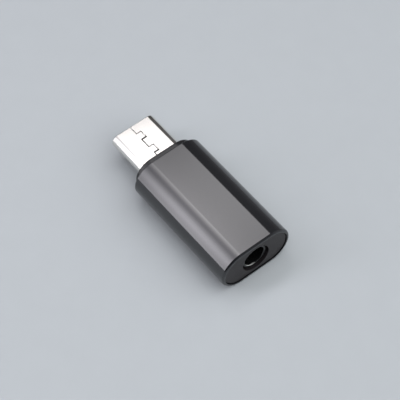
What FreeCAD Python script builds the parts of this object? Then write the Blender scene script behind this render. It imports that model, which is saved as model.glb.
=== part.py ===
import FreeCAD, Part
import math
import os
import Sketcher

# A stub adapter: plug at -X, headphone jack at +X, millimetres.
# The origin is on the floor under the middle of the whole length, and +Z is up.

doc = FreeCAD.newDocument("adapter")
sheet = doc.addObject("Spreadsheet::Sheet", "Sizes")

# Driving sizes, one cell each.
SIZES = {
    # Sleeve: an obround extrusion.
    "sleeve_length": 22.2,
    "sleeve_width": 13.0,
    "sleeve_height": 7.4,
    "sleeve_wall": 0.5,
    "sleeve_edge": 0.2,
    "seat_gap": 0.04,
    # End cap over the jack.
    "cap_recess": 0.17,
    "cap_plate": 1.6,
    "cap_skirt": 2.0,
    "cap_edge": 0.14,
    "cap_web": 0.66,
    "core_wall": 0.51,
    "cap_core_depth": 2.4,
    # Collar round the plug.
    "collar_proud": 1.1,
    "collar_step": 0.44,
    "collar_depth": 2.0,
    "collar_edge": 0.25,
    # Folded shell of the plug and its toothed seam.
    "plug_reach": 8.2,
    "plug_width": 8.25,
    "plug_height": 2.4,
    "shell_wall": 0.25,
    "shell_tail": 0.2,
    "shell_lip": 0.1,
    "part_gap": 0.03,
    "seam_wide": 0.1,
    "seam_swing": 0.44,
    "tooth_first": 1.7,
    "tooth_pitch": 3.3,
    "tooth_length": 1.35,
    "tooth_relief": 0.22,
    # Insulator in the plug's mouth.
    "insulator_recess": 0.25,
    "insulator_length": 6.4,
    "slot_side": 0.395,
    "slot_height": 0.84,
    "slot_back": 1.05,
    "groove_start": 2.8,
    "groove_top": 0.78,
    # Contacts, on the standard pitch.
    "contact_pitch": 0.5,
    "contact_wide": 0.25,
    "contact_thick": 0.15,
    "contact_level": 0.55,
    "contact_bump": 3.4,
    "contact_land": 0.3,
    "contact_press": 0.22,
    "contact_tip": 0.1,
    "contact_lift": 0.12,
    "pad_length": 1.0,
    # Latch plate.
    "latch_thick": 0.2,
    "latch_arm": 0.22,
    "latch_hook": 0.35,
    "latch_start": 1.3,
    "latch_nose": 0.15,
    "latch_slope": 0.1,
    "latch_land": 0.3,
    "latch_ramp": 0.35,
    "latch_bridge": 0.65,
    "latch_width": 5.8,
    "latch_mouth": 0.6,
    "latch_side_gap": 0.05,
    # Grounding springs at the mouth.
    "shield_thick": 0.1,
    "shield_start": 0.75,
    "shield_length": 1.8,
    "shield_inset": 0.05,
    "shield_rim": 0.25,
    "shield_root": 0.35,
    "finger_wide": 0.9,
    "finger_offset": 1.6,
    "finger_dip": 0.32,
    "finger_land": 0.15,
    "finger_tip": 0.2,
    "finger_lift": 0.12,
    # Board.
    "board_after": 0.3,
    "board_thick": 0.8,
    "board_side_gap": 0.15,
    "board_gap": 0.1,
    "chip_size": 3.0,
    "chip_high": 0.85,
    "chip_gap": 0.2,
    "chip_edge": 0.08,
    "chip_dot": 0.4,
    "chip_dot_deep": 0.05,
    "regulator_size": 1.6,
    "regulator_high": 0.6,
    "small_length": 1.0,
    "small_wide": 0.5,
    "capacitor_high": 0.5,
    "resistor_high": 0.35,
    "small_pitch": 1.7,
    "small_start": 0.6,
    "small_gap": 0.3,
    "small_edge": 0.5,
    "small_cap": 0.25,
    "small_step": 0.02,
    # Jack.
    "nose_recess": 0.5,
    "nose_gap": 0.27,
    "bore": 3.6,
    "bore_depth": 14.0,
    "bore_chamfer": 0.12,
    "guide_length": 2.1,
    "chamber_step": 0.17,
    "chamber_wall": 0.38,
    "jack_end_wall": 0.6,
    "jack_width": 6.0,
    "jack_corner": 0.3,
    "nose_edge": 0.1,
    # Leaf springs of the jack.
    "leaf_thick": 0.2,
    "leaf_gap": 0.05,
    "leaf_land": 0.3,
    "leaf_lift": 0.35,
    "leaf_press": 0.35,
    "leaf_floor": 2.3,
    "leaf_window": 1.1,
    "leaf_anchor": 2.0,
    "foot_long": 0.8,
    "sleeve_crest": 3.3,
    "ring_two_crest": 5.4,
    "ring_one_crest": 8.4,
    "tip_crest": 10.6,
}

# Two places nearer than this are the same place.
TOUCH = 1e-4

# The most of a thin ring's wall that one broken edge may take.
EDGE_SHARE = 0.4

# Chip parts in a row along one side of the board.
CAPACITOR_ROW = 3
RESISTOR_ROW = 2

for row, (alias, size) in enumerate(SIZES.items(), start=1):
    sheet.set("A%d" % row, str(size))
    sheet.setAlias("A%d" % row, alias)
doc.recompute()


def use(text):
    """Turn words that name a size into references to the sheet."""
    out = ""
    word = ""
    for letter in text + " ":
        if letter.isalpha() or letter == "_" or (word and letter.isdigit()):
            word += letter
            continue
        out += "Sizes." + word if word in SIZES else word
        out += letter
        word = ""
    return out.strip()


def value(text):
    """The number that an expression on the sheet's sizes gives now."""
    return float(sheet.evalExpression(use(text)))


# Stations along X, from the plug's tip to the mouth of the jack.
TOTAL = "(plug_reach + collar_proud + sleeve_length)"
TIP_X = "(0 - %s / 2)" % TOTAL
COLLAR_X = "(%s + plug_reach)" % TIP_X
SLEEVE_X = "(%s + collar_proud)" % COLLAR_X
MOUTH_X = "(%s / 2)" % TOTAL
MID_Z = "(sleeve_height / 2)"

# Outline of what is pressed into the sleeve.
SEAT_WIDE = "(sleeve_width / 2 - sleeve_wall - seat_gap)"
SEAT_HIGH = "(sleeve_height / 2 - sleeve_wall - seat_gap)"

# Half sizes of the end cap's hole and of the jack that shows in it.
CAP_HOLE = "(%s - cap_web)" % SEAT_HIGH
NOSE_HALF = "(%s - nose_gap)" % CAP_HOLE
NOSE_WALL = "(%s - bore / 2)" % NOSE_HALF
CHAMBER = "(bore / 2 + chamber_step)"
JACK_HIGH = "(%s + chamber_wall)" % CHAMBER

# Lengths along the plug, counted from its tip.
COLLAR_END = "(plug_reach + collar_proud + collar_depth)"
SHELL_END = "(%s + shell_tail)" % COLLAR_END
INSULATOR_END = "(insulator_recess + insulator_length)"
SHELL_IN_WIDE = "(plug_width / 2 - shell_wall)"
SHELL_IN_HIGH = "(plug_height / 2 - shell_wall)"
SLOT_HALF = "(%s - part_gap - slot_side)" % SHELL_IN_WIDE
SHIELD_HALF = "(plug_width / 2 - plug_height / 2 - shield_inset)"

# Lengths in the jack, counted from the face of its nose.
JACK_BACK = "(bore_depth + jack_end_wall)"
NOSE_LENGTH = "(cap_recess + cap_plate - nose_recess + part_gap)"

# The board's outline, and what stands on its two arms.
BOARD_X = "(%s + board_after)" % COLLAR_END
BOARD_TOP = "(board_thick / 2)"
JACK_REAR = "(%s - nose_recess - %s)" % (TOTAL, JACK_BACK)
BOARD_END = "(%s - cap_recess - cap_plate - cap_skirt - board_gap)" % TOTAL
ROUND_REACH = "sqrt((sleeve_height / 2 - sleeve_wall) ^ 2 - %s ^ 2)" % BOARD_TOP
BOARD_HALF = "((sleeve_width - sleeve_height) / 2 + %s - board_side_gap)" % ROUND_REACH
SMALL_NEAR = "(%s - small_edge - small_wide)" % BOARD_HALF
FOOT_REACH = "(%s - small_gap)" % SMALL_NEAR

parts = []


def bind(thing, prop, text):
    thing.setExpression(prop, use(text))


def put(part, label, x="0", y="0", z=MID_Z, turn=None):
    """Give a sub-part its name and its place."""
    part.Label = label
    bind(part, "Placement.Base.x", x)
    bind(part, "Placement.Base.y", y)
    bind(part, "Placement.Base.z", z)
    if turn is not None:
        axis, angle = turn
        part.Placement.Rotation = FreeCAD.Rotation(axis, angle)
    parts.append(part)


def new_body(name):
    return doc.addObject("PartDesign::Body", name)


def new_sketch(body, name, plane, offset="0"):
    """A sketch on one of the body's own origin planes, moved along its normal."""
    sketch = body.newObject("Sketcher::SketchObject", name)
    planes = {feature.Role: feature for feature in body.Origin.OriginFeatures}
    sketch.AttachmentSupport = [(planes[plane], "")]
    sketch.MapMode = "FlatFace"
    bind(sketch, "AttachmentOffset.Base.z", offset)
    return sketch


def hold(sketch, constraint, text):
    """Add a dimension and bind it to the sheet."""
    index = sketch.addConstraint(constraint)
    bind(sketch, "Constraints[%d]" % index, text)


def draw_polygon(sketch, corners):
    """A closed outline, each corner held by two dimensions from the sketch's origin."""
    first = sketch.GeometryCount
    count = len(corners)
    spots = [FreeCAD.Vector(value(x), value(y), 0) for x, y in corners]
    for step in range(count):
        sketch.addGeometry(Part.LineSegment(spots[step], spots[(step + 1) % count]), False)
    for step in range(count):
        following = first + (step + 1) % count
        sketch.addConstraint(Sketcher.Constraint("Coincident", first + step, 2, following, 1))
    for step, (x, y) in enumerate(corners):
        edge = first + step
        hold(sketch, Sketcher.Constraint("DistanceX", -1, 1, edge, 1, spots[step].x), x)
        hold(sketch, Sketcher.Constraint("DistanceY", -1, 1, edge, 1, spots[step].y), y)


def draw_rectangle(sketch, low_x, high_x, low_y, high_y):
    draw_polygon(sketch, [(low_x, low_y), (high_x, low_y), (high_x, high_y), (low_x, high_y)])


def draw_circle(sketch, x, y, radius):
    first = sketch.GeometryCount
    centre = FreeCAD.Vector(value(x), value(y), 0)
    sketch.addGeometry(Part.Circle(centre, FreeCAD.Vector(0, 0, 1), value(radius)), False)
    hold(sketch, Sketcher.Constraint("Radius", first, value(radius)), radius)
    hold(sketch, Sketcher.Constraint("DistanceX", -1, 1, first, 3, centre.x), x)
    hold(sketch, Sketcher.Constraint("DistanceY", -1, 1, first, 3, centre.y), y)


def draw_obround(sketch, half_wide, half_high):
    """Flat top and bottom with a half round at each side, centred on the origin."""
    first = sketch.GeometryCount
    centre_text = "(%s - %s)" % (half_wide, half_high)
    radius = value(half_high)
    centre = value(centre_text)
    quarter = math.pi / 2
    up = FreeCAD.Vector(0, 0, 1)
    right = Part.Circle(FreeCAD.Vector(centre, 0, 0), up, radius)
    left = Part.Circle(FreeCAD.Vector(-centre, 0, 0), up, radius)
    top = [FreeCAD.Vector(centre, radius, 0), FreeCAD.Vector(-centre, radius, 0)]
    bottom = [FreeCAD.Vector(-centre, -radius, 0), FreeCAD.Vector(centre, -radius, 0)]
    sketch.addGeometry(Part.ArcOfCircle(right, -quarter, quarter), False)
    sketch.addGeometry(Part.LineSegment(*top), False)
    sketch.addGeometry(Part.ArcOfCircle(left, quarter, 3 * quarter), False)
    sketch.addGeometry(Part.LineSegment(*bottom), False)
    for step in range(4):
        following = first + (step + 1) % 4
        sketch.addConstraint(Sketcher.Constraint("Tangent", first + step, 2, following, 1))
    sketch.addConstraint(Sketcher.Constraint("Equal", first, first + 2))
    sketch.addConstraint(Sketcher.Constraint("PointOnObject", first, 3, -1))
    sketch.addConstraint(Sketcher.Constraint("PointOnObject", first + 2, 3, -1))
    hold(sketch, Sketcher.Constraint("Radius", first, radius), half_high)
    hold(sketch, Sketcher.Constraint("DistanceX", -1, 1, first, 3, centre), centre_text)
    hold(sketch, Sketcher.Constraint("DistanceX", first + 2, 3, -1, 1, centre), centre_text)


def pad(body, sketch, length):
    """Add material along the sketch's normal."""
    feature = body.newObject("PartDesign::Pad", sketch.Name + "Pad")
    feature.Profile = sketch
    bind(feature, "Length", length)
    return feature


def pocket(body, sketch, length):
    """Take material away along the sketch's normal."""
    feature = body.newObject("PartDesign::Pocket", sketch.Name + "Cut")
    feature.Profile = sketch
    feature.Reversed = True
    bind(feature, "Length", length)
    return feature


def edges_at(shape, x, smallest=0.0):
    """Names of the edges that lie flat at one place along X."""
    names = []
    for index, edge in enumerate(shape.Edges, start=1):
        box = edge.BoundBox
        flat = abs(box.XMin - x) < TOUCH and abs(box.XMax - x) < TOUCH
        reach = max(abs(box.YMin), abs(box.YMax))
        if flat and reach >= smallest:
            names.append("Edge%d" % index)
    return names


def dress(body, base, kind, edges, size):
    """Fillet or chamfer some edges of the body's last feature."""
    feature = body.newObject("PartDesign::" + kind, base.Name + kind)
    feature.Base = (base, edges)
    bind(feature, "Radius" if kind == "Fillet" else "Size", size)
    return feature


# The sleeve, one extrusion with its outer end edges broken.

def make_sleeve():
    body = new_body("Sleeve")
    section = new_sketch(body, "SleeveSection", "YZ_Plane")
    draw_obround(section, "(sleeve_width / 2)", "(sleeve_height / 2)")
    draw_obround(section, "(sleeve_width / 2 - sleeve_wall)", "(sleeve_height / 2 - sleeve_wall)")
    tube = pad(body, section, "sleeve_length")
    doc.recompute()
    half = value("sleeve_width / 2 - sleeve_height / 2")
    outside = value("sleeve_height / 2 - sleeve_wall / 2")
    rims = []
    for x in (0.0, value("sleeve_length")):
        for name in edges_at(tube.Shape, x):
            edge = tube.Shape.getElement(name)
            middle = edge.valueAt((edge.FirstParameter + edge.LastParameter) / 2)
            away = math.hypot(max(abs(middle.y) - half, 0), middle.z)
            if away > outside:
                rims.append(name)
    dress(body, tube, "Chamfer", rims, "sleeve_edge")
    put(body, "sleeve", x=SLEEVE_X)


# The end cap: a plate and a skirt in one moulding, pocketed for the jack.

def make_jack_cap():
    body = new_body("JackCap")
    outline = new_sketch(body, "CapOutline", "YZ_Plane", "0 - cap_plate - cap_skirt")
    draw_obround(outline, SEAT_WIDE, SEAT_HIGH)
    block = pad(body, outline, "cap_plate + cap_skirt")
    doc.recompute()
    dress(body, block, "Chamfer", edges_at(block.Shape, 0.0), "cap_edge")
    seat = new_sketch(body, "JackSeat", "YZ_Plane", "0 - cap_plate - cap_skirt")
    half_wide = "(jack_width / 2 + seat_gap)"
    half_high = "(%s + seat_gap)" % JACK_HIGH
    draw_rectangle(seat, "0 - " + half_wide, half_wide, "0 - " + half_high, half_high)
    pocket(body, seat, "cap_skirt")
    cores = new_sketch(body, "CapCores", "YZ_Plane", "0 - cap_plate - cap_skirt")
    core_y = "((%s + %s) / 2)" % (SEAT_WIDE, half_wide)
    core_half = "((%s - %s) / 2 - core_wall)" % (SEAT_WIDE, half_wide)
    draw_circle(cores, core_y, "0", core_half)
    draw_circle(cores, "0 - " + core_y, "0", core_half)
    pocket(body, cores, "cap_core_depth")
    hole = new_sketch(body, "NoseHole", "YZ_Plane", "0 - cap_plate - cap_skirt")
    draw_circle(hole, "0", "0", CAP_HOLE)
    pocket(body, hole, "cap_plate + cap_skirt")
    put(body, "jack_cap", x=MOUTH_X + " - cap_recess")


# The collar: moulded round the plug's shell. What stands proud is narrower than its seat.

def make_plug_collar():
    body = new_body("PlugCollar")
    outline = new_sketch(body, "CollarOutline", "YZ_Plane")
    draw_obround(outline, "(%s - collar_step)" % SEAT_WIDE, SEAT_HIGH)
    block = pad(body, outline, "collar_proud")
    doc.recompute()
    dress(body, block, "Fillet", edges_at(block.Shape, 0.0), "collar_edge")
    seat = new_sketch(body, "CollarSeat", "YZ_Plane", "collar_proud")
    draw_obround(seat, SEAT_WIDE, SEAT_HIGH)
    pad(body, seat, "collar_depth")
    hole = new_sketch(body, "ShellHole", "YZ_Plane")
    draw_obround(hole, "(plug_width / 2 + part_gap)", "(plug_height / 2 + part_gap)")
    pocket(body, hole, "collar_proud + collar_depth")
    put(body, "plug_collar", x=COLLAR_X)


# The plug's shell: a folded steel tube, open along the toothed seam on its top.

def make_plug_shell():
    body = new_body("PlugShell")
    section = new_sketch(body, "ShellSection", "YZ_Plane")
    draw_obround(section, "(plug_width / 2)", "(plug_height / 2)")
    draw_obround(section, SHELL_IN_WIDE, SHELL_IN_HIGH)
    tube = pad(body, section, SHELL_END)
    doc.recompute()
    rims = []
    for name in edges_at(tube.Shape, 0.0):
        edge = tube.Shape.getElement(name)
        middle = edge.valueAt((edge.FirstParameter + edge.LastParameter) / 2)
        half = value("plug_width / 2 - plug_height / 2")
        away = math.hypot(max(abs(middle.y) - half, 0), middle.z)
        if away > value("plug_height / 2 - shell_wall / 2"):
            rims.append(name)
    dress(body, tube, "Fillet", rims, "shell_lip")
    seam = new_sketch(body, "SeamLine", "XY_Plane")
    low = "(0 - seam_swing - seam_wide / 2)"
    low_in = "(0 - seam_swing + seam_wide / 2)"
    high = "(seam_swing - seam_wide / 2)"
    high_out = "(seam_swing + seam_wide / 2)"
    right_side = [("0", low)]
    left_side = [("0", low_in)]
    teeth = 0
    while value("tooth_first + %d * tooth_pitch + tooth_length" % teeth) < value(SHELL_END):
        start = "(tooth_first + %d * tooth_pitch)" % teeth
        end = "(%s + tooth_length)" % start
        right_side += [(start + " + seam_wide", low), (start + " + seam_wide", high)]
        right_side += [(end, high), (end, low)]
        left_side += [(start, low_in), (start, high_out)]
        left_side += [(end + " + tooth_relief", high_out), (end + " + tooth_relief", low_in)]
        teeth += 1
    right_side.append((SHELL_END, low))
    left_side.append((SHELL_END, low_in))
    draw_polygon(seam, right_side + left_side[::-1])
    pocket(body, seam, "plug_height")
    put(body, "plug_shell", x=TIP_X)


# Insulator: the slotted moulding in the plug's mouth.

UPPER_PINS = {"a1": 1, "a4": 4, "a5": 5, "a6": 6, "a7": 7, "a9": 9, "a12": 12}
LOWER_PINS = {"b1": 1, "b4": 4, "b5": 5, "b9": 9, "b12": 12}
ROW_MIDDLE = 6.5


def pin_y(number, mirrored):
    """Where a contact lies across its row of twelve places."""
    offset = (number - ROW_MIDDLE) * (-1 if mirrored else 1)
    return "(%g * contact_pitch)" % offset


def make_plug_insulator():
    body = new_body("PlugInsulator")
    outline = new_sketch(body, "InsulatorOutline", "YZ_Plane", "insulator_recess")
    fit_high = "(%s - part_gap)" % SHELL_IN_HIGH
    draw_obround(outline, "(%s - part_gap)" % SHELL_IN_WIDE, fit_high)
    pad(body, outline, "insulator_length")
    slot = new_sketch(body, "TongueSlot", "YZ_Plane", "insulator_recess")
    draw_rectangle(slot, "0 - " + SLOT_HALF, SLOT_HALF, "0 - slot_height / 2", "slot_height / 2")
    pocket(body, slot, "insulator_length - slot_back")
    sides = new_sketch(body, "LatchSlots", "XY_Plane", "0 - latch_thick / 2 - latch_side_gap")
    for sign in ("", "0 - "):
        near = sign + SLOT_HALF
        far = sign + "(plug_width / 2)"
        draw_rectangle(sides, "latch_start - latch_side_gap", INSULATOR_END, near, far)
    pocket(body, sides, "latch_thick + 2 * latch_side_gap")
    for name, side, pins, mirrored in (("Upper", 1, UPPER_PINS, False), ("Lower", -1, LOWER_PINS, True)):
        grooves = new_sketch(body, name + "Grooves", "XY_Plane", "0" if side > 0 else "0 - groove_top")
        half = "(contact_wide / 2 + part_gap)"
        for number in pins.values():
            middle = pin_y(number, mirrored)
            draw_rectangle(grooves, "groove_start", INSULATOR_END, middle + " - " + half, middle + " + " + half)
        pocket(body, grooves, "groove_top")
        recess_floor = "(%s - shield_thick - part_gap)" % fit_high
        level = recess_floor if side > 0 else "0 - " + fit_high
        recess = new_sketch(body, name + "ShieldRecess", "XY_Plane", level)
        draw_rectangle(recess, "shield_start - part_gap", "shield_start + shield_length + part_gap",
                       "0 - %s - part_gap" % SHIELD_HALF, "%s + part_gap" % SHIELD_HALF)
        pocket(body, recess, "shield_thick + part_gap")
        windows = new_sketch(body, name + "FingerWindows", "XY_Plane", "0" if side > 0 else level)
        for way in ("", "0 - "):
            middle = way + "finger_offset"
            half_finger = "(finger_wide / 2 + part_gap)"
            draw_rectangle(windows, "shield_start + shield_rim", "shield_start + shield_length - shield_root",
                           middle + " - " + half_finger, middle + " + " + half_finger)
        pocket(body, windows, "plug_height / 2")
    put(body, "plug_insulator", x=TIP_X)


# Carriers: the two combs that hold the contacts behind the insulator.

CARRIER_START = "(%s + part_gap)" % INSULATOR_END
CARRIER_END = COLLAR_END
LATCH_HALF = "(latch_thick / 2)"


def make_carrier(label, side, pins, mirrored):
    body = new_body("Carrier" + label)
    fit_high = "(%s - part_gap)" % SHELL_IN_HIGH
    outline = new_sketch(body, label + "CarrierOutline", "YZ_Plane", CARRIER_START)
    draw_obround(outline, "(%s - part_gap)" % SHELL_IN_WIDE, fit_high)
    pad(body, outline, "%s - %s" % (CARRIER_END, CARRIER_START))
    split_level = "0 - plug_height / 2" if side > 0 else "0 - " + LATCH_HALF
    split = new_sketch(body, label + "CarrierSplit", "XY_Plane", split_level)
    draw_rectangle(split, CARRIER_START + " - part_gap", CARRIER_END + " + part_gap",
                   "0 - plug_width / 2", "plug_width / 2")
    pocket(body, split, "plug_height / 2 + " + LATCH_HALF)
    floor = "contact_level" if side > 0 else "0 - " + fit_high
    comb = new_sketch(body, label + "Comb", "XY_Plane", floor)
    half = "(contact_wide / 2 + part_gap)"
    for number in pins.values():
        middle = pin_y(number, mirrored)
        draw_rectangle(comb, CARRIER_START, CARRIER_END, middle + " - " + half, middle + " + " + half)
    pocket(body, comb, "%s - contact_level" % fit_high)
    put(body, label + "_carrier", x=TIP_X)


# Contacts: bent strips from the bump in the slot to the solder pad on the board.

def make_contact(label, side, number, mirrored):
    body = new_body("Contact" + label)
    top = "board_thick / 2"
    strip = new_sketch(body, "Strip" + label, "XZ_Plane", "0 - contact_wide / 2")
    flip = "" if side > 0 else "0 - "
    lower = [
        (BOARD_X + " + part_gap + pad_length", top),
        (BOARD_X + " + part_gap", top),
        (CARRIER_END + " + part_gap", "contact_level"),
        (CARRIER_START, "contact_level"),
        ("contact_bump + contact_land / 2", "contact_press"),
        ("contact_bump - contact_land / 2", "contact_press"),
        ("groove_start + contact_tip", "contact_press + contact_lift"),
    ]
    corners = [(x, flip + "(%s)" % z) for x, z in lower]
    corners += [(x, flip + "(%s + contact_thick)" % z) for x, z in lower[::-1]]
    draw_polygon(strip, corners)
    pad(body, strip, "contact_wide")
    put(body, "contact_" + label, x=TIP_X, y=pin_y(number, mirrored))


# Latch plate: the stamped middle plate whose arms end in two side hooks.

def make_latch_plate():
    body = new_body("LatchPlate")
    outline = new_sketch(body, "LatchOutline", "XY_Plane", "0 - " + LATCH_HALF)
    arm_in = "(%s + latch_side_gap)" % SLOT_HALF
    arm_out = "(%s + latch_arm)" % arm_in
    hook = "(%s - latch_hook)" % SLOT_HALF
    plate_wide = "(latch_width / 2)"
    bridge = "(%s + part_gap)" % INSULATOR_END
    half = [
        (BOARD_X + " - part_gap", plate_wide),
        (bridge + " + latch_bridge", plate_wide),
        (bridge + " + latch_bridge", arm_out),
        ("latch_start + latch_nose", arm_out),
        ("latch_start", arm_in),
        ("latch_start + latch_slope", hook),
        ("latch_start + latch_slope + latch_land", hook),
        ("latch_start + latch_slope + latch_land + latch_ramp", arm_in),
        (bridge, arm_in),
        (bridge, "latch_mouth"),
    ]
    corners = half + [(x, "0 - (%s)" % y) for x, y in half[::-1]]
    draw_polygon(outline, corners)
    pad(body, outline, "latch_thick")
    put(body, "latch_plate", x=TIP_X)


# Grounding springs: a thin plate with two bent fingers, in the insulator's recess.

def make_shield_spring(label, side):
    body = new_body("Shield" + label)
    floor = "(%s - 2 * part_gap - shield_thick)" % SHELL_IN_HIGH
    flip = "" if side > 0 else "0 - "
    base = floor if side > 0 else "0 - %s - shield_thick" % floor
    plate = new_sketch(body, label + "ShieldPlate", "XY_Plane", base)
    end = "shield_start + shield_length"
    root = "(%s - shield_root)" % end
    draw_rectangle(plate, "shield_start", end, "0 - " + SHIELD_HALF, SHIELD_HALF)
    for way in ("", "0 - "):
        middle = way + "finger_offset"
        half = "(finger_wide / 2 + part_gap)"
        draw_rectangle(plate, "shield_start + shield_rim", root, middle + " - " + half, middle + " + " + half)
    pad(body, plate, "shield_thick")
    tip = "(shield_start + shield_rim + part_gap)"
    lower = [
        (root, floor),
        (tip + " + finger_tip + finger_land", "finger_dip"),
        (tip + " + finger_tip", "finger_dip"),
        (tip, "finger_dip + finger_lift"),
    ]
    corners = [(x, flip + "(%s)" % z) for x, z in lower]
    corners += [(x, flip + "(%s + shield_thick)" % z) for x, z in lower[::-1]]
    for way in ("", "0 - "):
        name = label + ("Left" if way else "Right") + "Finger"
        finger = new_sketch(body, name, "XZ_Plane", "0 - (%sfinger_offset) - finger_wide / 2" % way)
        draw_polygon(finger, corners)
        pad(body, finger, "finger_wide")
    put(body, label + "_shield_spring", x=TIP_X)


# Board: a fork that runs from the contacts to both sides of the jack.

def make_circuit_board():
    body = new_body("CircuitBoard")
    outline = new_sketch(body, "BoardOutline", "XY_Plane", "0 - " + BOARD_TOP)
    notch = "(jack_width / 2 + board_gap)"
    half = [
        (BOARD_X, BOARD_HALF),
        (BOARD_END, BOARD_HALF),
        (BOARD_END, notch),
        (JACK_REAR + " - board_gap", notch),
    ]
    corners = half + [(x, "0 - " + y) for x, y in half[::-1]]
    draw_polygon(outline, corners)
    pad(body, outline, "board_thick")
    put(body, "circuit_board", x=TIP_X)


# Packages: moulded blocks with a dot at their first pin.

CHIP_START = "(%s + part_gap + pad_length + chip_gap)" % BOARD_X


def make_package(label, size, high, start, below):
    body = new_body("Package" + label)
    outline = new_sketch(body, "Outline" + label, "XY_Plane")
    draw_rectangle(outline, "0", size, "0 - %s / 2" % size, size + " / 2")
    block = pad(body, outline, high)
    doc.recompute()
    top = value(high)
    rim = []
    for index, edge in enumerate(block.Shape.Edges, start=1):
        if edge.BoundBox.ZMin > top - TOUCH:
            rim.append("Edge%d" % index)
    dress(body, block, "Chamfer", rim, "chip_edge")
    dot = new_sketch(body, "Dot" + label, "XY_Plane", "%s - chip_dot_deep" % high)
    draw_circle(dot, "chip_dot", "%s / 2 - chip_dot" % size, "chip_dot / 2")
    pocket(body, dot, "chip_dot_deep")
    level = MID_Z + (" - " if below else " + ") + BOARD_TOP
    turn = (FreeCAD.Vector(1, 0, 0), 180) if below else None
    put(body, label, x=TIP_X + " + " + start, z=level, turn=turn)


# Chip parts: a body between two metal ends, one solid each.

def make_small_part(label, high, step, side):
    name = label.title().replace("_", "")
    blocks = []
    pieces = [
        ("Body", "small_cap / 2", "small_length - small_cap", "small_step"),
        ("Near", "0", "small_cap", "0"),
        ("Far", "small_length - small_cap", "small_cap", "0"),
    ]
    for word, start, length, inset in pieces:
        block = doc.addObject("Part::Box", name + word)
        bind(block, "Length", length)
        bind(block, "Width", "small_wide - 2 * %s" % inset)
        bind(block, "Height", "%s - %s" % (high, inset))
        bind(block, "Placement.Base.x", start)
        bind(block, "Placement.Base.y", inset)
        blocks.append(block)
    joined = doc.addObject("Part::MultiFuse", name)
    joined.Shapes = blocks
    y = SMALL_NEAR if side > 0 else "(0 - %s - small_wide)" % SMALL_NEAR
    x = "%s + %s + small_start + %d * small_pitch" % (TIP_X, JACK_REAR, step)
    put(joined, label, x=x, y=y, z=MID_Z + " + " + BOARD_TOP)


# The jack's moulding: a block with a round nose, a guide bore, a chamber and four open slots.

LEAF_TOP = "(board_thick / 2 + leaf_thick)"
LEAVES = {
    "jack_sleeve_spring": ("sleeve_crest", 1),
    "jack_ring_two_spring": ("ring_two_crest", -1),
    "jack_ring_one_spring": ("ring_one_crest", 1),
    "jack_tip_spring": ("tip_crest", -1),
}


def make_jack_body():
    body = new_body("JackBody")
    block_outline = new_sketch(body, "JackOutline", "YZ_Plane", "0 - " + JACK_BACK)
    draw_rectangle(block_outline, "0 - jack_width / 2", "jack_width / 2", "0 - " + JACK_HIGH, JACK_HIGH)
    block = pad(body, block_outline, "%s - %s" % (JACK_BACK, NOSE_LENGTH))
    doc.recompute()
    long_edges = []
    for index, edge in enumerate(block.Shape.Edges, start=1):
        if edge.BoundBox.XLength > value("bore_depth / 2"):
            long_edges.append("Edge%d" % index)
    dress(body, block, "Fillet", long_edges, "jack_corner")
    nose = new_sketch(body, "NoseOutline", "YZ_Plane", "0 - " + NOSE_LENGTH)
    draw_circle(nose, "0", "0", NOSE_HALF)
    pad(body, nose, NOSE_LENGTH)
    chamber = new_sketch(body, "ChamberOutline", "YZ_Plane", "0 - bore_depth")
    draw_circle(chamber, "0", "0", CHAMBER)
    pocket(body, chamber, "bore_depth - guide_length")
    bore = new_sketch(body, "BoreOutline", "YZ_Plane", "0 - guide_length")
    draw_circle(bore, "0", "0", "bore / 2")
    drilled = pocket(body, bore, "guide_length")
    doc.recompute()
    between = value("(bore / 2 + %s) / 2" % NOSE_HALF)
    rims = edges_at(drilled.Shape, 0.0)
    outer = edges_at(drilled.Shape, 0.0, between)
    inner = [name for name in rims if name not in outer]
    widest = "%g * %s" % (EDGE_SHARE, NOSE_WALL)
    mouth = dress(body, drilled, "Chamfer", inner, "min(bore_chamfer; %s)" % widest)
    doc.recompute()
    rounded = edges_at(mouth.Shape, 0.0, between)
    dress(body, mouth, "Fillet", rounded, "min(nose_edge; %s)" % widest)
    for label, (crest, side) in LEAVES.items():
        flip = "" if side > 0 else "0 - "
        slot = new_sketch(body, label.title().replace("_", "") + "Slot", "XY_Plane",
                          "0 - %s - leaf_gap" % LEAF_TOP)
        back = "0 - (%s + leaf_window + leaf_anchor + leaf_gap)" % crest
        window_back = "0 - (%s + leaf_window)" % crest
        front = "0 - (%s - leaf_window)" % crest
        corners = [
            (back, "leaf_floor"),
            (back, "jack_width"),
            (front, "jack_width"),
            (front, "0"),
            (window_back, "0"),
            (window_back, "leaf_floor"),
        ]
        draw_polygon(slot, [(x, flip + "(%s)" % y) for x, y in corners])
        pocket(body, slot, "2 * (%s + leaf_gap)" % LEAF_TOP)
    put(body, "jack_body", x=MOUTH_X + " - nose_recess")


# Leaf springs: an anchor on the slot's floor, a crest in the bore and a foot on the board.

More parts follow.
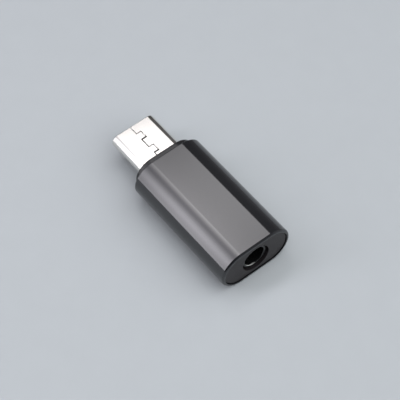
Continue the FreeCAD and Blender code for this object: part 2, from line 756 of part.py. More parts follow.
def make_leaf(label, crest, side):
    name = label.title().replace("_", "")
    body = new_body(name)
    flip = "" if side > 0 else "0 - "
    crest_y = "(bore / 2 - leaf_press)"
    back = "0 - (%s + leaf_window + leaf_anchor)" % crest
    inner = [
        (back, "leaf_floor"),
        ("0 - (%s + leaf_window - leaf_gap)" % crest, "leaf_floor"),
        ("0 - (%s + leaf_land)" % crest, crest_y),
        ("0 - (%s - leaf_land)" % crest, crest_y),
        ("0 - (%s - leaf_window + leaf_gap)" % crest, crest_y + " + leaf_lift"),
    ]
    corners = [(x, flip + "(%s)" % y) for x, y in inner]
    corners += [(x, flip + "(%s + leaf_thick)" % y) for x, y in inner[::-1]]
    strip = new_sketch(body, name + "Strip", "XY_Plane", "0 - " + LEAF_TOP)
    draw_polygon(strip, corners)
    pad(body, strip, "2 * " + LEAF_TOP)
    foot = new_sketch(body, name + "Foot", "XY_Plane", BOARD_TOP)
    low = "leaf_floor" if side > 0 else "0 - " + FOOT_REACH
    high = FOOT_REACH if side > 0 else "0 - leaf_floor"
    draw_rectangle(foot, back, back + " + foot_long", low, high)
    pad(body, foot, "leaf_thick")
    put(body, label, x=MOUTH_X + " - nose_recess")


make_sleeve()
make_jack_cap()
make_plug_collar()
make_plug_shell()
make_plug_insulator()
make_carrier("upper", 1, UPPER_PINS, False)
make_carrier("lower", -1, LOWER_PINS, True)
for pin, place in UPPER_PINS.items():
    make_contact(pin, 1, place, False)
for pin, place in LOWER_PINS.items():
    make_contact(pin, -1, place, True)
make_latch_plate()
make_shield_spring("upper", 1)
make_shield_spring("lower", -1)
make_circuit_board()
make_package("codec_chip", "chip_size", "chip_high", CHIP_START, False)
make_package("regulator", "regulator_size", "regulator_high", CHIP_START, True)
for place in range(CAPACITOR_ROW):
    first = place + 1
    make_small_part("capacitor_%d" % first, "capacitor_high", place, 1)
    make_small_part("capacitor_%d" % (first + CAPACITOR_ROW), "capacitor_high", place, -1)
for place in range(CAPACITOR_ROW, CAPACITOR_ROW + RESISTOR_ROW):
    first = place - CAPACITOR_ROW + 1
    make_small_part("resistor_%d" % first, "resistor_high", place, 1)
    make_small_part("resistor_%d" % (first + RESISTOR_ROW), "resistor_high", place, -1)
make_jack_body()
for spring, (depth, way) in LEAVES.items():
    make_leaf(spring, depth, way)
doc.recompute()

# Every object has to be sound before anything is written.
for thing in doc.Objects:
    if "Invalid" in thing.State or "Error" in thing.State:
        raise RuntimeError("%s did not build" % thing.Label)
for part in parts:
    if part.Shape.isNull() or not part.Shape.isValid():
        raise RuntimeError("%s has no sound shape" % part.Label)

os.makedirs("parts", exist_ok=True)
for part in parts:
    part.Shape.exportStep("parts/%s.step" % part.Label)
    print("%-24s %d solid, %.3f mm3" % (part.Label, len(part.Shape.Solids), part.Shape.Volume))
print("%d nodes" % len(parts))
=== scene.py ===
# %% [markdown]
# # A black stub adapter on a pale table
#
# The object is a small headphone adapter: a folded steel plug at one end, a round jack
# at the other, and a black anodised sleeve between them. Its solids come packed as a
# fixed frame, in metres, so this lesson never moves them. It gives every piece its
# finish, models the four pieces that need a finer surface, and lights the table so that
# the glossy black shows its form.

import math

import bpy
from mathutils import Matrix, Vector


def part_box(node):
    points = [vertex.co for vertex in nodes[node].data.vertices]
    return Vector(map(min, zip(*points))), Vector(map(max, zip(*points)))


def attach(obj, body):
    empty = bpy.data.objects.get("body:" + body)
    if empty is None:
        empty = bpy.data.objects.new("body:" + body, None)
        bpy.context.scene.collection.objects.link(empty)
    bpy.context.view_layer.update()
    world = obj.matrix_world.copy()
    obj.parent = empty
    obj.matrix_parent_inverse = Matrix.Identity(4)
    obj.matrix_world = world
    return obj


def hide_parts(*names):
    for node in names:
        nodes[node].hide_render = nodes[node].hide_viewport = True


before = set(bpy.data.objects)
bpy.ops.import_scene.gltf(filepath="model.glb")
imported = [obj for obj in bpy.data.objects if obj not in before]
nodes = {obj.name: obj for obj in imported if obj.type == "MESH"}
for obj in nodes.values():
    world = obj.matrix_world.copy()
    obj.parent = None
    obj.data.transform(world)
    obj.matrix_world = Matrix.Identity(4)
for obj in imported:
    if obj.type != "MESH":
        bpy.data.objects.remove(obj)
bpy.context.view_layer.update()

MM = 0.001
sleeve_low, sleeve_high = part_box("sleeve")
sleeve_size = sleeve_high - sleeve_low
mid_height = (sleeve_low.z + sleeve_high.z) / 2
print("sleeve %.1f x %.1f x %.1f mm" % tuple(sleeve_size / MM))


# %% [markdown]
# ## The camera
#
# The photograph looks down at the adapter from beyond the jack, a little to one side,
# with a long lens. A camera is placed on a ray from a point on the object: the azimuth
# and the elevation turn the ray, the roll turns the picture, and the lens sets the size
# of the object in a frame of 400 by 400 pixels. No shift is needed.

# %% Place the camera
VIEW_AZIMUTH = math.radians(54.84)
VIEW_ELEVATION = math.radians(55.58)
VIEW_ROLL = math.radians(-3.42)
VIEW_DISTANCE = 223.85 * MM
VIEW_AIM = Vector((1.86 * MM, 0.0, mid_height))
SENSOR_WIDTH = 36.0
LENS = 129.5
NEAREST_SEEN = 10 * MM

away = Vector((
    math.sin(VIEW_AZIMUTH) * math.cos(VIEW_ELEVATION),
    -math.cos(VIEW_AZIMUTH) * math.cos(VIEW_ELEVATION),
    math.sin(VIEW_ELEVATION),
))
camera_data = bpy.data.cameras.new("camera")
camera_data.sensor_width = SENSOR_WIDTH
camera_data.lens = LENS
camera_data.clip_start = NEAREST_SEEN
camera = bpy.data.objects.new("camera", camera_data)
bpy.context.scene.collection.objects.link(camera)
camera.location = VIEW_AIM + away * VIEW_DISTANCE
camera.rotation_mode = "QUATERNION"
camera.rotation_quaternion = (
    (-away).to_track_quat("-Z", "Y") @ Matrix.Rotation(VIEW_ROLL, 3, "Z").to_quaternion()
)
bpy.context.scene.camera = camera
bpy.context.scene.view_settings.view_transform = "Standard"
print("camera at %s mm" % [round(x / MM, 1) for x in camera.location])


# %% [markdown]
# ## Shader maths as Python
#
# A material is a tree of nodes, and a formula in it soon needs a dozen Math nodes. They
# could be added one by one, but then the formula is lost among the links. The class below
# wraps one socket instead, so that `1 - mask * 0.5` adds its two nodes by itself.

# %% A socket with arithmetic
class Value:
    """One output socket, with the arithmetic that this lesson uses."""

    def __init__(self, finish, socket):
        self.finish = finish
        self.socket = socket

    def __add__(self, other):
        return self.finish.math("ADD", self, other)

    def __radd__(self, other):
        return self.finish.math("ADD", other, self)

    def __sub__(self, other):
        return self.finish.math("SUBTRACT", self, other)

    def __rsub__(self, other):
        return self.finish.math("SUBTRACT", other, self)

    def __mul__(self, other):
        return self.finish.math("MULTIPLY", self, other)

    def __rmul__(self, other):
        return self.finish.math("MULTIPLY", other, self)


print("a socket can be added, subtracted and multiplied")


# %% [markdown]
# ## One finish
#
# A second class holds one finish: its tree, its shader, and one method that adds any node
# with its settings and inputs. The short methods after it name what this lesson needs
# often. Patterns follow Object coordinates, which are the frame's own metres here, so a
# size in a pattern is a real size on the adapter.

# %% A finish and its nodes
class Finish:
    """A material with a principled shader, and the way to add nodes to it."""

    def __init__(self, name, **constants):
        self.material = bpy.data.materials.new(name)
        self.material.use_nodes = True
        self.tree = self.material.node_tree
        self.shader = self.tree.nodes["Principled BSDF"]
        for word, constant in constants.items():
            self.feed(word.replace("_", " ").title().replace("Ior", "IOR"), constant)

    def node(self, kind, settings=None, inputs=None, output=0):
        """Add a node: its settings first, then its inputs, and give back one output."""
        made = self.tree.nodes.new(kind)
        for word, setting in (settings or {}).items():
            if word == "stops":
                ramp = made.color_ramp.elements
                while len(ramp) < len(setting):
                    ramp.new(0.5)
                for stop, (place, colour) in zip(ramp, setting):
                    stop.position = place
                    stop.color = colour
            else:
                setattr(made, word, setting)
        for place, given in (inputs or {}).items():
            self.connect(made.inputs[place], given)
        return Value(self, made.outputs[output])

    def connect(self, socket, given):
        """Link a Value to a socket, or set the socket to a constant."""
        if isinstance(given, Value):
            self.tree.links.new(given.socket, socket)
        else:
            socket.default_value = given

    def feed(self, place, given):
        """Set or link one input of the principled shader."""
        self.connect(self.shader.inputs[place], given)

    def math(self, operation, first, second):
        return self.node("ShaderNodeMath", {"operation": operation}, {0: first, 1: second})

    def vector(self, operation, first, second, output=0):
        settings = {"operation": operation}
        return self.node("ShaderNodeVectorMath", settings, {0: first, 1: second}, output)

    def spot(self):
        """Object coordinates."""
        return self.node("ShaderNodeTexCoord", output="Object")

    def along(self, vector, axis):
        """One of a vector's three numbers."""
        return self.node("ShaderNodeSeparateXYZ", {}, {0: vector}, output=axis)

    def noise(self, size, detail=2.0, stretch=(1.0, 1.0, 1.0)):
        """Soft noise whose blobs are about `size` metres wide."""
        spot = self.node("ShaderNodeMapping", {}, {"Vector": self.spot(), "Scale": stretch})
        settings = {"Vector": spot, "Scale": 1 / size, "Detail": detail}
        return self.node("ShaderNodeTexNoise", {}, settings)

    def between(self, factor, low, high):
        """Carry a factor from 0..1 to low..high."""
        return factor * (high - low) + low

    def mix(self, factor, first, second):
        """Blend two colours: sockets 6 and 7 are the colour inputs of a Mix node."""
        inputs = {"Factor": factor, 6: first, 7: second}
        return self.node("ShaderNodeMix", {"data_type": "RGBA"}, inputs, output=2)

    def bump(self, height, distance):
        """Raise the surface by a height of 0..1 times a distance in metres."""
        inputs = {"Height": height, "Distance": distance, "Strength": 1.0}
        self.feed("Normal", self.node("ShaderNodeBump", {}, inputs))


def grey(level, blue=1.0):
    return (level, level, level * blue, 1.0)


print("a finish can add any node")


# %% [markdown]
# ## Anodised sleeve
#
# The real sleeve is an aluminium extrusion, polished, then anodised and dyed black. It
# could be a metal with a coat, but the dye hides the metal, so a dark base under one clear
# gloss does it. The oxide layer bends light more than plastic does, and its IOR is higher.
# Faint draw lines run along the sleeve, and the polish varies a little from spot to spot.

# %% Anodised sleeve
DRAW_LINE = 0.05 * MM
POLISH_SPOT = 1.2 * MM
OXIDE_GRAIN = 0.04 * MM
OXIDE_DEPTH = 0.0006 * MM
DYE_DARK = (0.0058, 0.0063, 0.008, 1)
DYE_LIGHT = (0.0098, 0.0105, 0.013, 1)


def make_anodised_finish():
    finish = Finish("anodised", ior=1.7)
    lines = finish.noise(DRAW_LINE, 3.0, stretch=(0.02, 1.0, 1.0))
    cloud = finish.noise(POLISH_SPOT, 3.0)
    grain = finish.noise(OXIDE_GRAIN, 1.0)
    finish.feed("Base Color", finish.mix(cloud, DYE_DARK, DYE_LIGHT))
    finish.feed("Roughness", finish.between(cloud, 0.06, 0.10) + lines * 0.03)
    finish.bump(lines * 0.5 + grain * 0.5, OXIDE_DEPTH)
    return finish.material


anodised = make_anodised_finish()
print("made", anodised.name)


# %% [markdown]
# ## Moulded plastics
#
# The end cap is moulded in a tool with a fine spark texture, so it looks satin. The collar
# comes from a smoother tool and is glossier. The insulator, the carriers and the chips'
# packages are filled with glass and have a dry look. One function makes them all, from two
# dark greys, a roughness, and the width and depth of the texture's pebbles.

# %% Moulded plastics
PLASTIC_CLOUD = 0.9 * MM
ROUGH_SWING = 0.04


def make_plastic_finish(name, dark, light, rough, pebble, depth, warm=1.0):
    finish = Finish(name, ior=1.45)
    cloud = finish.noise(PLASTIC_CLOUD, 3.0)
    pebbles = finish.noise(pebble, 2.0)
    low = (dark * warm, dark, dark * 1.1, 1.0)
    high = (light * warm, light, light * 1.1, 1.0)
    finish.feed("Base Color", finish.mix(cloud, low, high))
    finish.feed("Roughness", finish.between(cloud, rough - ROUGH_SWING, rough + ROUGH_SWING))
    finish.bump(pebbles, depth)
    return finish.material


end_plastic = make_plastic_finish(
    "end_plastic", dark=0.012, light=0.019, rough=0.42, pebble=0.16 * MM, depth=0.012 * MM, warm=1.2)
collar_plastic = make_plastic_finish(
    "collar_plastic", dark=0.014, light=0.02, rough=0.24, pebble=0.12 * MM, depth=0.001 * MM)
insulator_plastic = make_plastic_finish(
    "insulator", dark=0.012, light=0.02, rough=0.55, pebble=0.05 * MM, depth=0.004 * MM)
package_epoxy = make_plastic_finish(
    "package_epoxy", dark=0.018, light=0.028, rough=0.6, pebble=0.05 * MM, depth=0.004 * MM)
print("made", end_plastic.name, collar_plastic.name, insulator_plastic.name, package_epoxy.name)


# %% [markdown]
# ## The jack's nose
#
# The housing of the jack is black, and a thin plated ring lines the mouth of its bore.
# Its metal shows on the lower side only, as a painted highlight; elsewhere it is black. The
# ring could be a piece of its own, but it is too thin to stand proud, so a mask tells it
# from the rest by its place: near the nose's face, close to the bore's axis, on that side.

# %% The jack's nose
RING_RADIUS = 1.9 * MM
RING_DEPTH = 0.2 * MM
GLINT_METAL = (0.70, 0.69, 0.66, 1)
GLINT_SIDE = (0.0, -0.55, -0.835)
GLINT_FROM = 0.75 * RING_RADIUS
GLINT_FULL = 0.95 * RING_RADIUS
BORE_MIDDLE = (0.0, 0.0, mid_height)
nose_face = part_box("jack_body")[1].x


def make_nose_finish():
    finish = Finish("jack_plastic", ior=1.5)
    cloud = finish.noise(PLASTIC_CLOUD, 3.0)
    pebbles = finish.noise(0.15 * MM, 2.0)
    spot = finish.spot()
    across = finish.vector("MULTIPLY", spot, (0.0, 1.0, 1.0))
    reach = finish.vector("DISTANCE", across, BORE_MIDDLE, output="Value")
    inner = finish.math("LESS_THAN", reach, RING_RADIUS)
    outer = finish.math("GREATER_THAN", finish.along(spot, "X"), nose_face - RING_DEPTH)
    # Painted highlight: the ring is metal only on the lower side of the mouth, so a glint shows
    # there.
    from_axis = finish.vector("SUBTRACT", spot, BORE_MIDDLE)
    glint_facing = finish.vector("DOT_PRODUCT", from_axis, GLINT_SIDE, output="Value")
    glint_mask = finish.node("ShaderNodeMapRange", {}, {0: glint_facing, 1: GLINT_FROM, 2: GLINT_FULL})
    glint_ring = inner * outer * glint_mask
    black = finish.mix(cloud, grey(0.004, 1.05), grey(0.008, 1.05))
    finish.feed("Base Color", finish.mix(glint_ring, black, GLINT_METAL))
    finish.feed("Metallic", glint_ring)
    finish.feed("Roughness", finish.between(cloud, 0.16, 0.24))
    finish.bump(pebbles, 0.001 * MM)
    return finish.material


jack_plastic = make_nose_finish()
print("made", jack_plastic.name)


# %% [markdown]
# ## Metals
#
# The plug's shell is steel strip with bright nickel on it, and has hairline scratches from
# being plugged in, along its length. The springs are bare strip, the plug's contacts are
# gold plated, and the jack's leaves are tinned bronze. All are one metal with its colour
# and polish changed, so one function with long thin noise for the scratches makes them.

# %% Metals
def make_metal_finish(name, colour, shade, rough, spread, depth):
    finish = Finish(name, metallic=1.0)
    hairlines = finish.noise(0.06 * MM, 3.0, stretch=(0.05, 1.0, 1.0))
    cloud = finish.noise(1.5 * MM, 2.0)
    finish.feed("Base Color", finish.mix(cloud, colour, shade))
    finish.feed("Roughness", finish.between(cloud, rough, rough + spread) + hairlines * spread)
    finish.bump(hairlines, depth)
    return finish.material


bright_nickel = make_metal_finish(
    "bright_nickel", (0.80, 0.783, 0.745, 1), (0.76, 0.744, 0.707, 1),
    rough=0.12, spread=0.05, depth=0.0006 * MM)
spring_steel = make_metal_finish(
    "spring_steel", (0.62, 0.61, 0.59, 1), (0.55, 0.54, 0.52, 1),
    rough=0.25, spread=0.08, depth=0.001 * MM)
gold_plate = make_metal_finish(
    "gold_plate", (0.90, 0.66, 0.28, 1), (0.82, 0.58, 0.22, 1),
    rough=0.18, spread=0.06, depth=0.001 * MM)
tinned_bronze = make_metal_finish(
    "tinned_bronze", (0.76, 0.73, 0.64, 1), (0.68, 0.64, 0.54, 1),
    rough=0.28, spread=0.08, depth=0.001 * MM)
print("made", bright_nickel.name, spring_steel.name, gold_plate.name, tinned_bronze.name)


# %% [markdown]
# ## The board
#
# The board is green solder mask over glass laminate. The weave of the glass shows through
# the mask as faint bands, about a millimetre apart. They only raise the surface, so a Wave
# texture in the bump is enough, and the colour stays plain green with a soft cloud.

# %% The board
GLASS_WEAVE = 1.2 * MM


def make_board_finish():
    finish = Finish("solder_mask")
    weave = finish.node("ShaderNodeTexWave", {"wave_type": "BANDS"},
                        {"Vector": finish.spot(), "Scale": 1 / GLASS_WEAVE, "Distortion": 0.5})
    cloud = finish.noise(0.8 * MM, 2.0)
    finish.feed("Base Color", finish.mix(cloud, (0.01, 0.13, 0.05, 1), (0.02, 0.18, 0.08, 1)))
    finish.feed("Roughness", finish.between(cloud, 0.25, 0.35))
    finish.bump(weave, 0.004 * MM)
    return finish.material


solder_mask = make_board_finish()
print("made", solder_mask.name)


# %% [markdown]
# ## Chip parts
#
# A capacitor or a resistor is a block of ceramic between two tinned ends. Each is one
# solid here, so the ends are told from the ceramic by their place along the part: they
# lie within a quarter of a millimetre of its two faces.

# %% Chip parts
TINNED_END = 0.25 * MM
TIN = (0.72, 0.71, 0.69, 1)
CERAMICS = {"capacitor": (0.45, 0.32, 0.2, 1), "resistor": (0.03, 0.03, 0.03, 1)}


def make_chip_finish(part, ceramic):
    """Ceramic between two tinned ends, for the chip part at that node."""
    low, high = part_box(part)
    finish = Finish(part + "_finish")
    along = finish.along(finish.spot(), "X")
    near = finish.math("LESS_THAN", along, low.x + TINNED_END)
    far = finish.math("GREATER_THAN", along, high.x - TINNED_END)
    tinned = near + far
    cloud = finish.noise(0.2 * MM, 2.0)
    finish.feed("Base Color", finish.mix(tinned, ceramic, TIN))
    finish.feed("Metallic", tinned)
    finish.feed("Roughness", finish.between(cloud, 0.3, 0.4))
    finish.bump(cloud, 0.005 * MM)
    return finish.material


print("ceramics:", ", ".join(CERAMICS))


# %% [markdown]
# ## Give each node its finish
#
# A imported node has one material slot. Its mesh stays as it is, so only the slot gets the
# new finish, chosen by the node's own name. The names of the contacts, the chip parts and
# the leaves begin alike, so their first word is enough to choose by.

# %% Give each node its finish
FINISHES = {
    "sleeve": anodised,
    "jack_cap": end_plastic,
    "plug_collar": collar_plastic,
    "plug_shell": bright_nickel,
    "plug_insulator": insulator_plastic,
    "upper_carrier": insulator_plastic,
    "lower_carrier": insulator_plastic,
    "latch_plate": spring_steel,
    "upper_shield_spring": spring_steel,
    "lower_shield_spring": spring_steel,
    "circuit_board": solder_mask,
    "codec_chip": package_epoxy,
    "regulator": package_epoxy,
    "jack_body": jack_plastic,
}


def finish_for(name):
    """The finish of a node: by its name, or by the first word of its name."""
    family = name.split("_")[0]
    if name in FINISHES:
        return FINISHES[name]
    if family == "contact":
        return gold_plate
    if family in CERAMICS:
        return make_chip_finish(name, CERAMICS[family])
    return tinned_bronze


for name, node in nodes.items():
    finish = finish_for(name)
    for place in range(len(node.material_slots)):
        node.material_slots[place].material = finish
print("%d nodes have a finish" % len(nodes))


# %% [markdown]
# ## Pick parts of a mesh in code
#
# Four solids carry edges that the eye reads closely: the sleeve, the cap, the jack's nose
# and the plug's shell. They get a finer piece each, made in edit mode as by hand. The
# edges and faces to work on are picked by their place or their normal, because a place
# stays true when the mesh is made again, while an index does not.

# %% Pick vertices, edges or faces
def edit(piece, kind, wanted):
    """Enter edit mode with only the wanted vertices, edges or faces selected."""
    bpy.ops.object.mode_set(mode="EDIT")
    bpy.ops.mesh.select_mode(type=kind)
    bpy.ops.mesh.select_all(action="DESELECT")
    bpy.ops.object.mode_set(mode="OBJECT")
    mesh = piece.data
    spots = [vertex.co for vertex in mesh.vertices]
    if kind == "FACE":
        for face in mesh.polygons:
            face.select = wanted(face.normal)
    elif kind == "EDGE":
        for edge in mesh.edges:
            edge.select = wanted(spots[edge.vertices[0]], spots[edge.vertices[1]])
    else:
        for vertex in mesh.vertices:
            vertex.select = wanted(vertex.co)
    print("%s: %d faces, %d edges, %d vertices picked" % (
        piece.name, mesh.total_face_sel, mesh.total_edge_sel, mesh.total_vert_sel))
    bpy.ops.object.mode_set(mode="EDIT")


print("mesh parts can be picked by place or normal")


# %% [markdown]
# ## Copy a solid, and finish a piece
#
# A imported solid is loose triangles. A copy of it is merged, and its flat triangles are
# joined, before anything is bevelled. Every finished piece is shaded smooth up to an
# angle, gets weighted normals so that its flats stay flat beside small rounds, gets its
# finish, and then takes the place of its solid, which is hidden.

# %% Copy a solid, and finish a piece
MERGE_COPY = 0.0005 * MM
FLAT_ANGLE = math.radians(0.5)
SMOOTH_ANGLE = math.radians(35)


def copy_node(node, name):
    """A piece from a node's own mesh, merged, with its flat triangles joined."""
    piece = bpy.data.objects.new(name, nodes[node].data.copy())
    bpy.context.scene.collection.objects.link(piece)
    bpy.ops.object.select_all(action="DESELECT")
    piece.select_set(True)
    bpy.context.view_layer.objects.active = piece
    edit(piece, "VERT", lambda spot: True)
    bpy.ops.mesh.remove_doubles(threshold=MERGE_COPY)
    bpy.ops.mesh.dissolve_limited(angle_limit=FLAT_ANGLE)
    bpy.ops.object.mode_set(mode="OBJECT")
    return piece


def dress(piece, node, finish):
    """Smooth the shading, and let the piece stand for its node."""
    bpy.ops.object.mode_set(mode="OBJECT")
    bpy.ops.object.shade_smooth_by_angle(angle=SMOOTH_ANGLE)
    bpy.ops.object.modifier_add(type="WEIGHTED_NORMAL")
    piece.modifiers[-1].keep_sharp = True
    bpy.ops.object.modifier_apply(modifier=piece.modifiers[-1].name)
    piece.data.materials.clear()
    piece.data.materials.append(finish)
    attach(piece, "root")
    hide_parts(node)
    print("%s stands for %s, %d faces" % (piece.name, node, len(piece.data.polygons)))


print("copies merge within %.4f mm" % (MERGE_COPY / MM))


# %% [markdown]
# ## The sleeve's tube
#
# The real sleeve is sawn from an extrusion. It could be a lofted outline, but a box does
# it sooner: its long edges are rounded until the sides are half circles, both ends are
# inset by the wall and opened, and a bridge joins the two openings.

# %% Model the sleeve's tube
SLEEVE_WALL = 0.5 * MM
SIDE_SEGMENTS = 24
MERGE_SLEEVE = 0.001 * MM
side_radius = sleeve_size.z / 2


def make_tube():
    """An obround tube with sharp rims, open at both ends."""
    bpy.ops.object.select_all(action="DESELECT")
    bpy.ops.mesh.primitive_cube_add(size=1, location=(sleeve_low + sleeve_high) / 2)
    tube = bpy.context.object
    tube.name = "sleeve_extrusion"
    tube.scale = sleeve_size
    bpy.ops.object.transform_apply(location=True, rotation=True, scale=True)

    edit(tube, "EDGE", lambda a, b: abs(a.x - b.x) > sleeve_size.x / 2)
    bpy.ops.mesh.bevel(offset=side_radius, segments=SIDE_SEGMENTS, affect="EDGES")
    bpy.ops.mesh.select_all(action="SELECT")
    bpy.ops.mesh.remove_doubles(threshold=MERGE_SLEEVE)
    edit(tube, "FACE", lambda normal: abs(normal.x) > 0.9)
    bpy.ops.mesh.inset(thickness=SLEEVE_WALL)
    bpy.ops.mesh.delete(type="FACE")
    bpy.ops.mesh.select_mode(type="EDGE")
    bpy.ops.mesh.select_non_manifold(extend=False)
    bpy.ops.mesh.bridge_edge_loops()
    bpy.ops.mesh.select_all(action="SELECT")
    bpy.ops.mesh.normals_make_consistent(inside=False)
    return tube


tube = make_tube()


# %% [markdown]
# ## The sleeve's rims
#
# After sawing, the sleeve is tumbled and polished until its rims are round, and the rim
# at the jack is rounder than the one at the plug. A Bevel modifier would round both alike,
# so each rim is bevelled in edit mode. Its edges are told from the others by two places:
# they lie on that end, and they lie on the outer or the inner wall.

# %% Round the sleeve's rims
RIM_ROUND = {"front": 0.14 * MM, "rear": 0.36 * MM}
RIM_PLACE = {"front": sleeve_low.x, "rear": sleeve_high.x}
RIM_INNER = 0.06 * MM
NEAR = 0.01 * MM
OUTER_WALL = side_radius - 0.1 * MM
INNER_WALL = side_radius - SLEEVE_WALL + 0.05 * MM


def wall_reach(spot):
    """Distance from the line that the sleeve's round wall is drawn about."""
    flat_half = sleeve_size.y / 2 - side_radius
    return math.hypot(max(abs(spot.y) - flat_half, 0.0), spot.z - mid_height)


def round_rims(tube):
    for name, end in RIM_PLACE.items():
        def on_end(a, b):
            return max(abs(a.x - end), abs(b.x - end)) < NEAR

        def on_outside(a, b):
            return on_end(a, b) and min(wall_reach(a), wall_reach(b)) > OUTER_WALL

        def on_inside(a, b):
            return on_end(a, b) and max(wall_reach(a), wall_reach(b)) < INNER_WALL

        edit(tube, "EDGE", on_outside)
        bpy.ops.mesh.bevel(offset=RIM_ROUND[name], segments=5, affect="EDGES")
        edit(tube, "EDGE", on_inside)
        bpy.ops.mesh.bevel(offset=RIM_INNER, segments=2, affect="EDGES")


round_rims(tube)
dress(tube, "sleeve", anodised)


# %% [markdown]
# ## The cap
#
# The real cap is pressed in until its face is nearly level with the sleeve's end. Its
# outline is right in the solid, so a merged copy is a good start, and only its face is
# moved out by a few hundredths of a millimetre.

# %% Model the cap
CAP_FORWARD = 0.03 * MM
CAP_RIM = 0.2 * MM


def make_cap():
    piece = copy_node("jack_cap", "jack_end_cap")
    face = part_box("jack_cap")[1].x
    edit(piece, "VERT", lambda spot: spot.x > face - CAP_RIM)
    bpy.ops.transform.translate(value=(CAP_FORWARD, 0, 0))
    dress(piece, "jack_cap", end_plastic)


make_cap()


# %% [markdown]
# ## The nose
#
# The mouth of the bore is worn by plugs, and its soft lip catches the light. The lip's
# edges turn about the bore's axis, so both ends of such an edge are equally far along it,
# near the nose's face and near the bore.

# %% Model the nose
BORE_RADIUS = 1.8 * MM
LIP_REACH = 0.16 * MM
LIP_ROUND = 0.05 * MM


def on_lip(a, b):
    turns = abs(a.x - b.x) < NEAR
    at_face = min(a.x, b.x) > nose_face - LIP_REACH
    reach = [math.hypot(spot.y, spot.z - mid_height) for spot in (a, b)]
    return turns and at_face and max(reach) < BORE_RADIUS + LIP_REACH


def make_nose():
    piece = copy_node("jack_body", "jack_housing")
    edit(piece, "EDGE", on_lip)
    bpy.ops.mesh.bevel(offset=LIP_ROUND, segments=3, affect="EDGES")
    dress(piece, "jack_body", jack_plastic)


make_nose()


# %% [markdown]
# ## The shell
#
# The plug's shell is stamped from one strip and folded round until its toothed edges
# meet. Stamping rolls the lips of that seam in a little, so it reads as a dark line even
# where the shell shines. The seam's edges are those near the middle of the flat top.

# %% Model the shell
SEAM_ROUND = 0.04 * MM
SEAM_REACH = 1.0 * MM
shell_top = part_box("plug_shell")[1].z


def on_seam(a, b):
    return min(a.z, b.z) > shell_top - NEAR and max(abs(a.y), abs(b.y)) < SEAM_REACH


def make_shell():
    piece = copy_node("plug_shell", "plug_folded_shell")
    edit(piece, "EDGE", on_seam)
    bpy.ops.mesh.bevel(offset=SEAM_ROUND, segments=3, affect="EDGES")
    dress(piece, "plug_shell", bright_nickel)


make_shell()


# %% [markdown]
# ## Table
#
# The table is one pale, slightly blue sheet. It could end in a curved backdrop, but the
# camera looks down and sees only the table, so a plane far larger than the view does.

# %% Table
TABLE_REACH = 1.5
TABLE_DARK = (0.485, 0.511, 0.533, 1)
TABLE_LIGHT = (0.505, 0.532, 0.554, 1)


def make_table():
    bpy.ops.object.select_all(action="DESELECT")
    bpy.ops.mesh.primitive_plane_add(size=2 * TABLE_REACH, location=(0, 0, 0))
    table = bpy.context.object
    table.name = "table"
    finish = Finish("table_top", specular_ior_level=0.2)
    cloud = finish.noise(4 * MM, 3.0)
    finish.feed("Base Color", finish.mix(cloud, TABLE_DARK, TABLE_LIGHT))
    finish.feed("Roughness", finish.between(cloud, 0.6, 0.7))
    table.data.materials.append(finish.material)
    print("table %.1f m wide" % (2 * TABLE_REACH))


make_table()


# %% [markdown]
# ## The tent's glow
#
# Glossy black shows little but reflections, so the light is drawn for them. The sleeve is
# an extrusion, so every strip of its wall mirrors one direction in a fan about its own
# axis. Lamps would leave spots on it, so a curved sheet, a slice of a light tent, stands
# in that fan, and its glow changes with the angle from straight up. The glow drops just
# past the direction that the flat top mirrors, which makes the right flank dark. A
# brighter band next to that edge makes the thin line along the left edge of the top.
# Along the sleeve the glow fades towards both ends of the tent.

# %% Make the tent's glow
TENT_MIDDLE = -0.190
TENT_HALF = 0.100
TENT_GLOW = 5.3
TENT_GREEN = 0.98
TENT_BLUE_LEFT = 1.05
TENT_BLUE_RIGHT = 1.01
# Angle in degrees from straight up, positive towards +Y, and the share of the glow there.
TENT_STOPS = [
    (-92, 0.78), (-80, 0.72), (-65, 0.86), (-52, 1.02), (-40, 0.94), (-28, 0.67), (-15, 0.43),
    (-5, 0.46), (3, 0.65), (10, 0.85), (16, 1.0), (19, 0.83), (21, 0.59), (26, 0.585),
    (27.5, 0.04), (60, 0.035), (92, 0.06),
]


def make_tent_glow():
    """Light that changes with the angle about the sleeve, and fades along it."""
    glow = Finish("tent_glow")
    spot = glow.spot()
    first, last = TENT_STOPS[0][0], TENT_STOPS[-1][0]
    stops = []
    for at, share in TENT_STOPS:
        blue = TENT_BLUE_LEFT if at < 0 else TENT_BLUE_RIGHT
        colour = (share, TENT_GREEN * share, blue * share, 1)
        stops.append(((at - first) / (last - first), colour))
    angle = glow.math("ARCTAN2", glow.along(spot, "Y"), glow.along(spot, "Z"))
    share = (angle - math.radians(first)) * (1 / math.radians(last - first))
    ramp = glow.node("ShaderNodeValToRGB", {"stops": stops}, {0: share})
    off = (glow.along(spot, "X") - TENT_MIDDLE) * (1 / TENT_HALF)
    fade = 1 - off * off
    glow.feed("Base Color", grey(0.0))
    glow.feed("Specular IOR Level", 0.0)
    glow.feed("Emission Color", glow.mix(fade * fade, grey(0.0), ramp))
    glow.feed("Emission Strength", TENT_GLOW)
    return glow.material


tent_glow = make_tent_glow()
print("made %s with %d angles" % (tent_glow.name, len(TENT_STOPS)))


# %% [markdown]
# ## The tent's sheet
#
# The sheet is a half tube over the table, open at both ends. A cylinder without caps is
# cut just above the table for it, because then every point of it is equally far from the
# adapter's axis. The camera doesn't see it.

# %% Model the tent
TENT_RADIUS = 0.40
TENT_SIDES = 128
TENT_LIFT = 2 * MM


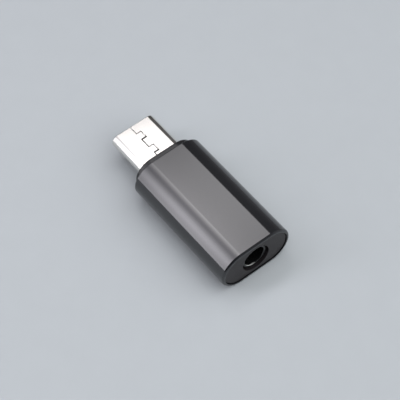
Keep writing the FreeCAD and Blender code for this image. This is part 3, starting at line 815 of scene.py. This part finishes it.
def make_tent():
    """A half tube over the table, open at both ends."""
    bpy.ops.object.select_all(action="DESELECT")
    bpy.ops.mesh.primitive_cylinder_add(
        vertices=TENT_SIDES, radius=TENT_RADIUS, depth=2 * TENT_HALF, end_fill_type="NOTHING",
        location=(TENT_MIDDLE, 0, 0), rotation=(0, math.pi / 2, 0))
    tent = bpy.context.object
    tent.name = "light_tent"
    bpy.ops.object.transform_apply(location=True, rotation=True, scale=True)
    bpy.ops.object.mode_set(mode="EDIT")
    bpy.ops.mesh.select_all(action="SELECT")
    bpy.ops.mesh.bisect(plane_co=(0, 0, TENT_LIFT), plane_no=(0, 0, 1), clear_inner=True)
    bpy.ops.object.mode_set(mode="OBJECT")
    tent.data.materials.append(tent_glow)
    tent.visible_camera = False
    print("light tent %.2f m long" % (2 * TENT_HALF))


make_tent()


# %% [markdown]
# ## Fill
#
# The tent alone would leave the shadows too dark. A wide soft sun fills them from above.
# It is kept out of mirror reflections, because the round rims would show it as a bright
# line that the photograph doesn't have.

# %% Fill light
FILL_ENERGY = 2.55
FILL_SPREAD = math.radians(95)
FILL_COLOUR = (0.97, 0.99, 1.0)
FILL_WAY = Vector((-0.34, -0.24, -0.90))


def make_fill():
    data = bpy.data.lights.new("fill", "SUN")
    data.energy = FILL_ENERGY
    data.angle = FILL_SPREAD
    data.color = FILL_COLOUR
    lamp = bpy.data.objects.new("fill", data)
    lamp.rotation_mode = "QUATERNION"
    lamp.rotation_quaternion = FILL_WAY.to_track_quat("-Z", "Y")
    lamp.visible_glossy = False
    bpy.context.scene.collection.objects.link(lamp)
    print("fill of strength %.2f" % data.energy)


make_fill()


# %% [markdown]
# ## Room
#
# The rest of the room is dim, a little lighter beyond the right flank, which mirrors it,
# and darker on the other side. Walls could be modelled, but a world whose level follows
# one direction gives the same soft change.

# %% Room
ROOM_STOPS = [(0.1, 0.06), (0.95, 0.42)]
ROOM_LIGHT_SIDE = (0.35, 0.93, 0.1)


def make_room():
    world = bpy.data.worlds.new("room")
    world.use_nodes = True
    tree = world.node_tree
    look = tree.nodes.new("ShaderNodeTexCoord")
    towards = tree.nodes.new("ShaderNodeVectorMath")
    towards.operation = "DOT_PRODUCT"
    towards.inputs[1].default_value = ROOM_LIGHT_SIDE
    ramp = tree.nodes.new("ShaderNodeValToRGB")
    for stop, (place, level) in zip(ramp.color_ramp.elements, ROOM_STOPS):
        stop.position = place
        stop.color = (0.96 * level, 0.98 * level, level, 1)
    tree.links.new(look.outputs["Generated"], towards.inputs[0])
    tree.links.new(towards.outputs["Value"], ramp.inputs[0])
    tree.links.new(ramp.outputs[0], tree.nodes["Background"].inputs["Color"])
    bpy.context.scene.world = world
    print("room from %.2f to %.2f" % (ROOM_STOPS[0][1], ROOM_STOPS[1][1]))


make_room()
